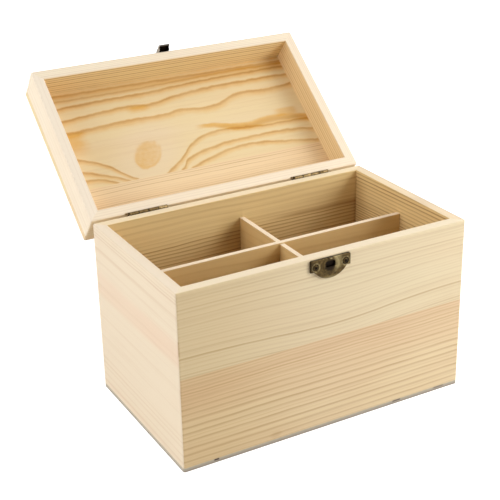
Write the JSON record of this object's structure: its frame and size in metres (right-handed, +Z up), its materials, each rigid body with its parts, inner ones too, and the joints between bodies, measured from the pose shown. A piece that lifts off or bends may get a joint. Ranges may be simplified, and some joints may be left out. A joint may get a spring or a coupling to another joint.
{
  "type": "seed storage box",
  "caption": "Wooden seed storage box with a hinged lid, an interlocking divider cross and a half-round metal latch, lid standing open.",
  "frame": {"origin": "centre of the box's underside, on the surface it stands on", "axes": "+X to the right along the front, +Y to the back where the open lid leans, +Z up; the front with the catch looks along -Y"},
  "size_m": [0.24, 0.2735, 0.2359],
  "materials": {
    "pine": "sanded bare pine, matte",
    "plywood": "thin raw plywood, matte",
    "antique_bronze": "dark antiqued bronze plating, worn lighter on raised edges",
    "brad_steel": "plain steel"
  },
  "bodies": {
    "base": {"base_back_wall": "pine", "base_front_lower_board": "pine", "base_front_upper_board": "pine", "base_left_wall": "pine", "base_right_wall": "pine", "bottom_board": "plywood", "bottom_brads": "brad_steel", "catch_plate": "antique_bronze", "catch_screws": "antique_bronze", "left_hinge_base_leaf": "antique_bronze", "left_hinge_base_screws": "antique_bronze", "left_hinge_pin": "antique_bronze", "long_divider": "pine", "right_hinge_base_leaf": "antique_bronze", "right_hinge_base_screws": "antique_bronze", "right_hinge_pin": "antique_bronze", "short_divider": "pine"},
    "lid": {"latch_pin": "antique_bronze", "latch_plate": "antique_bronze", "latch_screws": "antique_bronze", "left_hinge_lid_leaf": "antique_bronze", "left_hinge_lid_screws": "antique_bronze", "lid_back_wall": "pine", "lid_front_wall": "pine", "lid_left_wall": "pine", "lid_panel_back_board": "pine", "lid_panel_front_board": "pine", "lid_right_wall": "pine", "right_hinge_lid_leaf": "antique_bronze", "right_hinge_lid_screws": "antique_bronze"},
    "flap": {"latch_flap": "antique_bronze"}
  },
  "joints": [
    {"name": "lid_hinge", "type": "hinge", "parent": "base", "child": "lid", "pos_m": [0, 0.0716, 0.1398], "axis": [1, 0, 0], "range_deg": [0, 140.3]},
    {"name": "latch_flap_hinge", "type": "hinge", "parent": "lid", "child": "flap", "pos_m": [-0.0022, 0.18825, 0.22637], "axis": [-1, 0, 0], "range_deg": [0, 120]}
  ]
}
